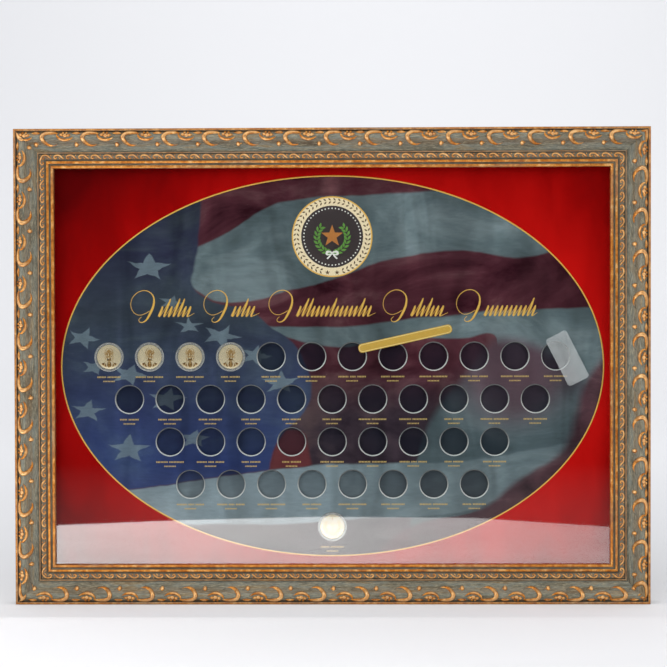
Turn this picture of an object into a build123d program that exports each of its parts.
"""Glazed coin display frame: a mitred ornamental moulding that holds glass, a printed face mat with
bevelled coin wells, capsuled coins, a loose title plate and a backing panel kept in by turn buttons.

Millimetres. +X is to the viewer's right, +Z is up and the front faces -Y. The origin is under the
middle of the bottom edge, at half of the overall depth. In the moulding's section, u runs inward
from the outer edge and v runs forward from the plane of the rails' backs.
"""

import math
import os

from build123d import *

# ---- overall and moulding -------------------------------------------------------------------
FRAME_W = 686.0
FRAME_H = 514.0
RABBET_W = 6.0
LIP_T = 3.3
OUTER_BEAD_W = 3.1
ORNAMENT_W = 21.4
THIN_BEAD_W = 1.8
GUILLOCHE_W = 6.2
QUIRK_W = 1.4
INNER_BEAD_W = 3.2
GROOVE_W = 1.7
SIGHT_BEAD_W = 3.2
BEAD_RISE = 1.5
THIN_BEAD_RISE = 1.0
GUILLOCHE_RISE = 1.2
QUIRK_DROP = 0.8
OUTER_BEAD_LIFT = 8.2
HUMP_W = 11.2
HUMP_LIFT = 8.4
HUMP_RISE = 3.6
COVE_SAG = 1.6
COMPO_T = 2.0

# ---- glazing package, front to back ---------------------------------------------------------
GLASS_T = 2.0
SPACER_H = 5.0
SPACER_W = 4.0
MAT_T = 1.4
WELL_BOARD_T = 2.6
BASE_BOARD_T = 1.5
BACKING_T = 3.0
PACK_RECESS = 0.2
PACK_EDGE_CLEARANCE = 1.0

# ---- coin wells, coins and capsules ---------------------------------------------------------
COIN_D = 26.5
COIN_T = 2.0
COIN_RIM_W = 0.9
COIN_FIELD_DEPTH = 0.12
COIN_POCKET_CLEARANCE = 0.1
CAPSULE_WALL = 1.25
CAPSULE_FLOOR = 1.6
CAPSULE_LID_T = 1.35
CAPSULE_SKIRT_T = 0.4
CAPSULE_SKIRT_H = 0.5
CAPSULE_FIT = 0.05
CAPSULE_LID_CHAMFER = 0.4
COIN_HEADROOM = 0.15
WELL_CLEARANCE = 0.2
WELL_BEVEL = 1.2
ROW_COUNTS = (12, 11, 9, 8)
FIRST_ROW_RISE = 10.6
WELL_SIDE_MARGIN = 57.9
WELL_FOOT_MARGIN = 40.0
FILLED_IN_FIRST_ROW = 4

# ---- loose title plate ----------------------------------------------------------------------
PLATE_L = 104.0
PLATE_W = 9.8
PLATE_T = 0.8
PLATE_CORNER_R = 4.3
PLATE_X = 79.6
PLATE_RISE = 29.8
PLATE_TILT = 12.5

# ---- hardware on the back -------------------------------------------------------------------
BUMPER_R = 6.35
BUMPER_T = 4.8
BUMPER_EDGE_R = 1.0
BUMPER_INSET = 20.0
V_NAIL_LEG = 5.0
V_NAIL_T = 0.6
V_NAIL_DEPTH = 10.0
V_NAIL_INSETS = (11.0, 25.0)
SCREW_R = 1.5
SCREW_HEAD_R = 3.0
SCREW_HEAD_H = 1.6
SCREW_LENGTH = 11.0
PILOT_CLEARANCE = 0.02
SCREW_SLOT_W = 0.8
SCREW_SLOT_L = 3.6
SCREW_SLOT_DEPTH = 0.7
BUTTON_L = 30.0
BUTTON_W = 9.0
BUTTON_T = 1.2
BUTTON_END_TO_PIVOT = 5.5
BUTTON_GAP = 0.15
BUTTON_HOLE_CLEARANCE = 0.25
BUTTON_TO_RABBET = 7.0
LONG_RAIL_BUTTON_END = 158.0
SIDE_RAIL_BUTTON_HEIGHT = 128.0
BUTTON_BELOW_STRAP = 68.0
STRAP_W = 12.0
STRAP_T = 0.95
STRAP_LENGTH = 35.0
STRAP_SCREWS = (17.5, 29.0)
STRAP_DROP = 128.0
RING_WIRE_R = 1.0
RING_R = 10.5
RING_PLAY = 0.25

# How far a cutter runs past the face it opens, and how far a full round stops short of meeting.
OVERRUN = 1.0
ROUND_GAP = 0.05

# ---- derived sizes --------------------------------------------------------------------------
RABBET_DEPTH = PACK_RECESS + BACKING_T + BASE_BOARD_T + WELL_BOARD_T + MAT_T + SPACER_H + GLASS_T
SIGHT_BASE = RABBET_DEPTH + LIP_T
U_HUMP = OUTER_BEAD_W
U_COVE = U_HUMP + HUMP_W
U_THIN_BEAD = U_HUMP + ORNAMENT_W
U_GUILLOCHE = U_THIN_BEAD + THIN_BEAD_W
U_QUIRK = U_GUILLOCHE + GUILLOCHE_W
U_INNER_BEAD = U_QUIRK + QUIRK_W
U_GROOVE = U_INNER_BEAD + INNER_BEAD_W
U_SIGHT_BEAD = U_GROOVE + GROOVE_W
MOULDING_W = U_SIGHT_BEAD + SIGHT_BEAD_W
BACK_W = MOULDING_W - RABBET_W
V_FRONT = SIGHT_BASE + HUMP_LIFT + HUMP_RISE

Y_BACK = (V_FRONT + BUMPER_T) / 2 - BUMPER_T
MID_Z = FRAME_H / 2
PACK_W = FRAME_W - 2 * (BACK_W + PACK_EDGE_CLEARANCE)
PACK_H = FRAME_H - 2 * (BACK_W + PACK_EDGE_CLEARANCE)

V_BACKING = PACK_RECESS
V_BASE_BOARD = V_BACKING + BACKING_T
V_WELL_BOARD = V_BASE_BOARD + BASE_BOARD_T
V_MAT = V_WELL_BOARD + WELL_BOARD_T
V_MAT_FACE = V_MAT + MAT_T
V_GLASS = V_MAT_FACE + SPACER_H

POCKET_R = COIN_D / 2 + COIN_POCKET_CLEARANCE
CAPSULE_R = POCKET_R + CAPSULE_WALL
WELL_R = CAPSULE_R + WELL_CLEARANCE
V_COIN = V_WELL_BOARD + CAPSULE_FLOOR
V_CAPSULE_SPLIT = V_COIN + COIN_T + COIN_HEADROOM
LID_R = WELL_R + WELL_BEVEL * (V_CAPSULE_SPLIT - V_MAT) / MAT_T - WELL_CLEARANCE
SKIRT_IN_R = CAPSULE_R + CAPSULE_FIT
FIRST_ROW_SPAN = FRAME_W - 2 * (MOULDING_W + WELL_SIDE_MARGIN)
WELL_PITCH = FIRST_ROW_SPAN / (ROW_COUNTS[0] - 1)
ROW_PITCH = (MID_Z + FIRST_ROW_RISE - MOULDING_W - WELL_FOOT_MARGIN) / len(ROW_COUNTS)

PILOT_R = SCREW_R + PILOT_CLEARANCE
V_BUTTON = -BUTTON_GAP
V_BUTTON_BACK = V_BUTTON - BUTTON_T
LOOP_BORE_R = RING_WIRE_R + RING_PLAY
STRAP_LOOP_R = LOOP_BORE_R + STRAP_T
V_LOOP = -STRAP_LOOP_R
STRAP_X = FRAME_W / 2 - BACK_W / 2
STRAP_Z = FRAME_H - STRAP_DROP
UPPER_BUTTON_HEIGHT = STRAP_Z - STRAP_LENGTH - BUTTON_BELOW_STRAP


def y_at(v):
    """Y of a point that lies v in front of the plane of the rails' backs."""
    return Y_BACK - v


def slab(width, height, v_low, v_high, x=0.0, z=MID_Z):
    """Upright sheet centred on x and z, between two depths."""
    size = v_high - v_low
    return Pos(x, y_at(v_low + size / 2), z) * Box(width, size, height)


def disc(radius, v_low, v_high, x=0.0, z=0.0):
    """Short cylinder along Y, between two depths."""
    size = v_high - v_low
    return Pos(x, y_at(v_low + size / 2), z) * Rot(90, 0, 0) * Cylinder(radius, size)


def turned(section):
    """Solid of revolution about a Y axis through x = z = 0, from (radius, v) corners."""
    outline = Polyline([(radius, y_at(v)) for radius, v in section], close=True)
    return revolve(make_face(outline), Axis.Y, 360)


# ---- moulding -------------------------------------------------------------------------------
def section_point(u, v):
    """Point of the bottom rail's section."""
    return Vector(0, y_at(v), u)


def section_path(steps):
    """Edges through (u, v) corners; a step of two points is an arc by way of the first."""
    edges = []
    here = section_point(*steps[0])
    for step in steps[1:]:
        if isinstance(step[0], tuple):
            via, end = section_point(*step[0]), section_point(*step[1])
            edges.append(Edge.make_three_point_arc(here, via, end))
        else:
            end = section_point(*step)
            edges.append(Edge.make_line(here, end))
        here = end
    return edges


def bead(u, width, base, rise):
    """Half-round bead from u to u + width as one arc step."""
    return ((u + width / 2, base + rise), (u + width, base))


def seat_steps(drop):
    """Hump and cove of the ornamented band, lowered by drop, from the outer bead inward."""
    hump_base = SIGHT_BASE + HUMP_LIFT - drop
    cove_end = SIGHT_BASE + THIN_BEAD_RISE - drop
    cove_mid = ((U_COVE + U_THIN_BEAD) / 2, (hump_base + cove_end) / 2 - COVE_SAG)
    return [
        (U_HUMP, hump_base),
        ((U_HUMP + HUMP_W / 2, hump_base + HUMP_RISE), (U_COVE, hump_base)),
        (cove_mid, (U_THIN_BEAD, cove_end)),
    ]


def core_section():
    """Wooden core with its turned beads, the rabbet and the seat for the composition band."""
    base = SIGHT_BASE
    outer_base = base + OUTER_BEAD_LIFT
    steps = [(0, 0), (0, outer_base), bead(0, OUTER_BEAD_W, outer_base, BEAD_RISE)]
    steps += seat_steps(COMPO_T)
    steps += [
        (U_THIN_BEAD, base + THIN_BEAD_RISE),
        bead(U_THIN_BEAD, THIN_BEAD_W, base + THIN_BEAD_RISE, THIN_BEAD_RISE),
        (U_GUILLOCHE, base),
        bead(U_GUILLOCHE, GUILLOCHE_W, base, GUILLOCHE_RISE),
        (U_QUIRK, base - QUIRK_DROP),
        (U_INNER_BEAD, base - QUIRK_DROP),
        (U_INNER_BEAD, base),
        bead(U_INNER_BEAD, INNER_BEAD_W, base, BEAD_RISE),
        (U_GROOVE, base - QUIRK_DROP),
        (U_SIGHT_BEAD, base - QUIRK_DROP),
        (U_SIGHT_BEAD, base),
        bead(U_SIGHT_BEAD, SIGHT_BEAD_W, base, BEAD_RISE),
        (MOULDING_W, RABBET_DEPTH),
        (MOULDING_W - RABBET_W, RABBET_DEPTH),
        (MOULDING_W - RABBET_W, 0),
        (0, 0),
    ]
    return make_face(section_path(steps))


def compo_section():
    """Band of cast composition ornament, between the core's seat and the top of its relief."""
    top = section_path(seat_steps(0))
    seat = section_path(seat_steps(COMPO_T))
    hump_base = SIGHT_BASE + HUMP_LIFT
    cove_end = SIGHT_BASE + THIN_BEAD_RISE
    outer_end = section_path([(U_HUMP, hump_base - COMPO_T), (U_HUMP, hump_base)])
    inner_end = section_path([(U_THIN_BEAD, cove_end), (U_THIN_BEAD, cove_end - COMPO_T)])
    return make_face(top + inner_end + seat + outer_end)


def mitred(section, length):
    """Section run along X for a bottom rail of that outer length, with both ends mitred."""
    run = extrude(section, length / 2, dir=(1, 0, 0), both=True)
    outline = Polyline(
        (-length / 2, 0, 0),
        (length / 2, 0, 0),
        (length / 2 - MOULDING_W, 0, MOULDING_W),
        (-length / 2 + MOULDING_W, 0, MOULDING_W),
        close=True,
    )
    return run & extrude(make_face(outline), 2 * V_FRONT, dir=(0, 1, 0), both=True)


SIDES = {
    "bottom": (FRAME_W, Pos(0, 0, 0)),
    "right": (FRAME_H, Pos(FRAME_W / 2, 0, FRAME_H / 2) * Rot(0, -90, 0)),
    "top": (FRAME_W, Pos(0, 0, FRAME_H) * Rot(0, 180, 0)),
    "left": (FRAME_H, Pos(-FRAME_W / 2, 0, FRAME_H / 2) * Rot(0, 90, 0)),
}


def corner_places():
    """Location of each outer corner, with the mitre running along local +X +Z."""
    half = FRAME_W / 2
    return [
        Pos(-half, 0, 0),
        Pos(half, 0, 0) * Rot(0, -90, 0),
        Pos(half, 0, FRAME_H) * Rot(0, 180, 0),
        Pos(-half, 0, FRAME_H) * Rot(0, 90, 0),
    ]


def v_nails():
    """Steel V-nails driven into the back across each mitre, flush with the rails."""
    reach = V_NAIL_LEG / math.sqrt(2)
    thick = V_NAIL_T * math.sqrt(2)
    nails = []
    for inset in V_NAIL_INSETS:
        outline = Polyline(
            (inset, 0, inset),
            (inset + 2 * reach, 0, inset),
            (inset + 2 * reach, 0, inset + thick),
            (inset + thick, 0, inset + thick),
            (inset + thick, 0, inset + 2 * reach),
            (inset, 0, inset + 2 * reach),
            close=True,
        )
        blade = extrude(make_face(outline), V_NAIL_DEPTH, dir=(0, -1, 0))
        nails += [place * Pos(0, Y_BACK, 0) * blade for place in corner_places()]
    return nails


# ---- fasteners ------------------------------------------------------------------------------
def pan_screw(v_seat, x, z):
    """Pan-head wood screw whose head bears at v_seat."""
    shank = disc(SCREW_R, v_seat, v_seat + SCREW_LENGTH, x, z)
    head = disc(SCREW_HEAD_R, v_seat - SCREW_HEAD_H, v_seat, x, z)
    head = fillet(head.edges().filter_by(GeomType.CIRCLE).sort_by(Axis.Y)[-1], SCREW_HEAD_H / 2)
    v_slot = v_seat - SCREW_HEAD_H
    slot = slab(SCREW_SLOT_L, SCREW_SLOT_W, v_slot, v_slot + SCREW_SLOT_DEPTH, x, z)
    cross = slab(SCREW_SLOT_W, SCREW_SLOT_L, v_slot, v_slot + SCREW_SLOT_DEPTH, x, z)
    return head + shank - slot - cross


def pilot_hole(x, z):
    """Bore in a rail's back for one screw."""
    return disc(PILOT_R, -OVERRUN, SCREW_LENGTH + OVERRUN, x, z)


# ---- turn buttons ---------------------------------------------------------------------------
def button_places():
    """Location of each turn button's pivot, with the button pointing along local +Z."""
    end = FRAME_W / 2 - LONG_RAIL_BUTTON_END
    heights = (SIDE_RAIL_BUTTON_HEIGHT - MID_Z, UPPER_BUTTON_HEIGHT - MID_Z)
    # A side rail's local X runs up on the right and down on the left.
    runs = {
        "bottom": (-end, end),
        "top": (-end, end),
        "right": heights,
        "left": [-height for height in heights],
    }
    places = {}
    for side, spots in runs.items():
        rail = SIDES[side][1]
        for number, x in enumerate(spots, start=1):
            places[f"turn_button_{side}_{number}"] = rail * Pos(x, 0, BACK_W - BUTTON_TO_RABBET)
    return places


def turn_button():
    """Stamped turn button about a pivot at x = z = 0, pointing along +Z."""
    centre = BUTTON_L / 2 - BUTTON_END_TO_PIVOT
    blank = slab(BUTTON_W, BUTTON_L, V_BUTTON_BACK, V_BUTTON, 0, centre)
    ends = blank.edges().filter_by(Axis.Y)
    blank = fillet(ends, BUTTON_W / 2 - ROUND_GAP)
    hole_r = SCREW_R + BUTTON_HOLE_CLEARANCE
    return blank - disc(hole_r, V_BUTTON_BACK - OVERRUN, V_BUTTON + OVERRUN)


# ---- hangers --------------------------------------------------------------------------------
def hanger_strap(x, z):
    """Folded steel strap with a rolled loop at its top and two screw holes."""
    plate = slab(STRAP_W, STRAP_LENGTH, -STRAP_T, 0, x, z - STRAP_LENGTH / 2)
    lower = plate.edges().filter_by(Axis.Y).sort_by(Axis.Z)[:2]
    plate = fillet(lower, STRAP_W / 2 - ROUND_GAP)
    loop = Pos(x, y_at(V_LOOP), z) * Rot(0, 90, 0) * Cylinder(STRAP_LOOP_R, STRAP_W)
    bore = Pos(x, y_at(V_LOOP), z) * Rot(0, 90, 0) * Cylinder(LOOP_BORE_R, 2 * STRAP_W)
    strap = plate + loop - bore
    for drop in STRAP_SCREWS:
        strap -= disc(PILOT_R, -STRAP_T - OVERRUN, OVERRUN, x, z - drop)
    return strap


def hanger_ring(x, z):
    """Wire D-ring that hangs from the strap's loop: a straight bar closed by a half circle."""
    bow = revolve(Pos(RING_R, 0, 0) * Circle(RING_WIRE_R), Axis.Y, 180)
    bar = Rot(0, 90, 0) * Cylinder(RING_WIRE_R, 2 * RING_R)
    knuckles = [Pos(side * RING_R, 0, 0) * Sphere(RING_WIRE_R) for side in (-1, 1)]
    return Pos(x, y_at(V_LOOP), z) * (bow + bar + knuckles)


# ---- coin wells -----------------------------------------------------------------------------
def well_places():
    """(x, z) of every coin well, row by row, with the single last well below them."""
    places = []
    for row, count in enumerate(ROW_COUNTS):
        z = MID_Z + FIRST_ROW_RISE - row * ROW_PITCH
        places += [((i - (count - 1) / 2) * WELL_PITCH, z) for i in range(count)]
    return places + [(0.0, MID_Z + FIRST_ROW_RISE - len(ROW_COUNTS) * ROW_PITCH)]


def face_mat():
    """Printed mat with a bevelled window over each well."""
    sheet = slab(PACK_W, PACK_H, V_MAT, V_MAT_FACE)
    spread = WELL_BEVEL * OVERRUN / MAT_T
    cutter = turned(
        [
            (0, V_MAT - OVERRUN),
            (WELL_R - spread, V_MAT - OVERRUN),
            (WELL_R + WELL_BEVEL + spread, V_MAT_FACE + OVERRUN),
            (0, V_MAT_FACE + OVERRUN),
        ]
    )
    return sheet - [Pos(x, 0, z) * cutter for x, z in well_places()]


def well_board():
    """Foam board with a straight hole for each well."""
    sheet = slab(PACK_W, PACK_H, V_WELL_BOARD, V_MAT)
    low, high = V_WELL_BOARD - OVERRUN, V_MAT + OVERRUN
    return sheet - [disc(WELL_R, low, high, x, z) for x, z in well_places()]


# ---- coins and capsules ---------------------------------------------------------------------
def coin():
    """Struck coin with a raised rim on both faces."""
    rim_in = COIN_D / 2 - COIN_RIM_W
    body = disc(COIN_D / 2, V_COIN, V_COIN + COIN_T)
    front = disc(rim_in, V_COIN + COIN_T - COIN_FIELD_DEPTH, V_COIN + COIN_T + OVERRUN)
    back = disc(rim_in, V_COIN - OVERRUN, V_COIN + COIN_FIELD_DEPTH)
    return body - front - back


def capsule_base():
    """Clear cup that the coin drops into."""
    return turned(
        [
            (0, V_WELL_BOARD),
            (CAPSULE_R, V_WELL_BOARD),
            (CAPSULE_R, V_CAPSULE_SPLIT),
            (POCKET_R, V_CAPSULE_SPLIT),
            (POCKET_R, V_COIN),
            (0, V_COIN),
        ]
    )


def capsule_lid():
    """Clear cap with a thin skirt that slips over the cup."""
    skirt_out_r = SKIRT_IN_R + CAPSULE_SKIRT_T
    low, high = V_CAPSULE_SPLIT - CAPSULE_SKIRT_H, V_CAPSULE_SPLIT + CAPSULE_LID_T
    return turned(
        [
            (0, V_CAPSULE_SPLIT),
            (SKIRT_IN_R, V_CAPSULE_SPLIT),
            (SKIRT_IN_R, low),
            (skirt_out_r, low),
            (skirt_out_r, V_CAPSULE_SPLIT),
            (LID_R, V_CAPSULE_SPLIT),
            (LID_R, high - CAPSULE_LID_CHAMFER),
            (LID_R - CAPSULE_LID_CHAMFER, high),
            (0, high),
        ]
    )


def title_plate():
    """Loose gilt plate that lies on the mat."""
    blank = Box(PLATE_L, PLATE_T, PLATE_W)
    blank = fillet(blank.edges().filter_by(Axis.Y), PLATE_CORNER_R)
    place = Pos(PLATE_X, y_at(V_MAT_FACE + PLATE_T / 2), MID_Z + PLATE_RISE)
    return place * Rot(0, -PLATE_TILT, 0) * blank


def bumper(x):
    """Soft wall bumper near a bottom corner."""
    pad = disc(BUMPER_R, -BUMPER_T, 0, x, BUMPER_INSET)
    return fillet(pad.edges().filter_by(GeomType.CIRCLE).sort_by(Axis.Y)[-1], BUMPER_EDGE_R)


def build():
    """Every sub-part by node name."""
    nodes = {}
    nails = v_nails()
    buttons = button_places()
    pivots = [place.position for place in buttons.values()]
    straps = {"left": -STRAP_X, "right": STRAP_X}
    strap_holes = [(x, STRAP_Z - drop) for x in straps.values() for drop in STRAP_SCREWS]
    pilots = [pilot_hole(pivot.X, pivot.Z) for pivot in pivots]
    pilots += [pilot_hole(x, z) for x, z in strap_holes]

    core, compo = core_section(), compo_section()
    for side, (length, place) in SIDES.items():
        nodes[f"rail_{side}"] = place * mitred(core, length) - (nails + pilots)
        nodes[f"ornament_{side}"] = place * mitred(compo, length)
    nodes["corner_v_nails"] = Compound(children=nails)

    nodes["glass"] = slab(PACK_W, PACK_H, V_GLASS, V_GLASS + GLASS_T)
    strip_z = PACK_H / 2 - SPACER_W / 2
    strip_x = PACK_W / 2 - SPACER_W / 2
    side_h = PACK_H - 2 * SPACER_W
    nodes["spacer_top"] = slab(PACK_W, SPACER_W, V_MAT_FACE, V_GLASS, 0, MID_Z + strip_z)
    nodes["spacer_bottom"] = slab(PACK_W, SPACER_W, V_MAT_FACE, V_GLASS, 0, MID_Z - strip_z)
    nodes["spacer_left"] = slab(SPACER_W, side_h, V_MAT_FACE, V_GLASS, -strip_x)
    nodes["spacer_right"] = slab(SPACER_W, side_h, V_MAT_FACE, V_GLASS, strip_x)
    nodes["face_mat"] = face_mat()
    nodes["well_board"] = well_board()
    nodes["base_board"] = slab(PACK_W, PACK_H, V_BASE_BOARD, V_WELL_BOARD)
    nodes["backing_panel"] = slab(PACK_W, PACK_H, V_BACKING, V_BASE_BOARD)
    nodes["title_plate"] = title_plate()

    wells = well_places()
    filled = wells[:FILLED_IN_FIRST_ROW] + wells[-1:]
    for number, (x, z) in enumerate(filled, start=1):
        nodes[f"coin_{number}"] = Pos(x, 0, z) * coin()
        nodes[f"capsule_base_{number}"] = Pos(x, 0, z) * capsule_base()
        nodes[f"capsule_lid_{number}"] = Pos(x, 0, z) * capsule_lid()

    for name, place in buttons.items():
        nodes[name] = place * turn_button()
    v_head = V_BUTTON_BACK - BUTTON_GAP
    nodes["turn_button_screws"] = Compound(
        children=[pan_screw(v_head, pivot.X, pivot.Z) for pivot in pivots]
    )
    for side, x in straps.items():
        nodes[f"hanger_strap_{side}"] = hanger_strap(x, STRAP_Z)
        nodes[f"hanger_ring_{side}"] = hanger_ring(x, STRAP_Z)
    nodes["hanger_screws"] = Compound(
        children=[pan_screw(-STRAP_T, x, z) for x, z in strap_holes]
    )
    bumper_x = FRAME_W / 2 - BUMPER_INSET
    nodes["bumper_left"] = bumper(-bumper_x)
    nodes["bumper_right"] = bumper(bumper_x)
    return nodes


os.makedirs("parts", exist_ok=True)
for node, shape in build().items():
    export_step(shape, f"parts/{node}.step")
